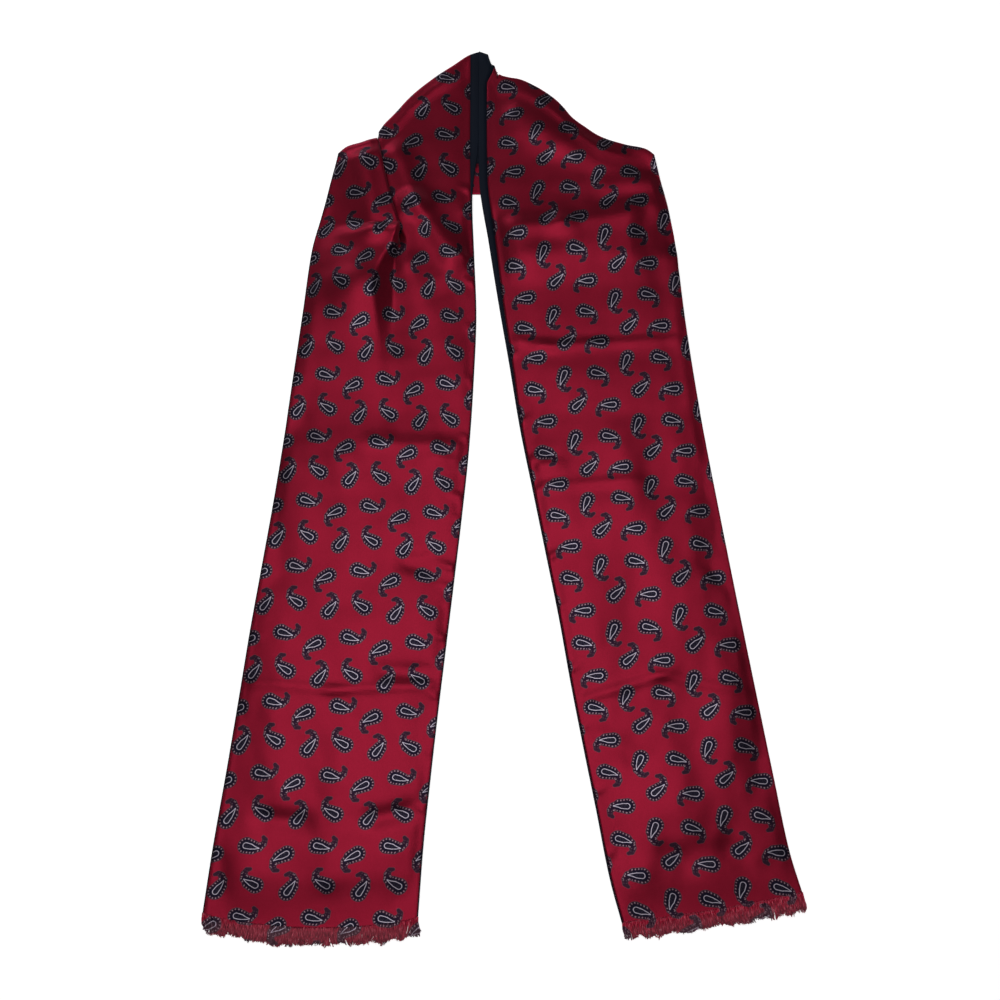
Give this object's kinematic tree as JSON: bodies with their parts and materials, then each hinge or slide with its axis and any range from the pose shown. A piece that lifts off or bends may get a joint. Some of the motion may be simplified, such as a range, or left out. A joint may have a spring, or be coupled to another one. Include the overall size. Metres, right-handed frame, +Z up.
{
  "type": "silk scarf",
  "caption": "Long lined silk scarf laid flat in an inverted V, turned under at the neck, with a printed face, a plain dark lining, a shoulder pleat and short fringed ends.",
  "frame": {"origin": "middle of the laid scarf's bounding box in X and Y, on the surface that it lies on", "axes": "+Z up from the surface, +Y from the fringed ends up to the neck fold, +X to the right as seen from above"},
  "size_m": [0.5258, 0.8634, 0.0141],
  "materials": {
    "silk": "silk twill with a soft sheen, crimson with a small dark paisley print",
    "lining": "matt dark navy lining cloth",
    "fringe": "loose threads of the silk and the lining, crimson with dull brown tips"
  },
  "bodies": {
    "root": {"silk_left_tail": "silk", "silk_right_tail": "silk", "silk_neck": "silk", "lining_left_tail": "lining", "lining_right_tail": "lining", "lining_neck": "lining", "fringe_left_end": "fringe", "fringe_right_end": "fringe"}
  },
  "joints": []
}
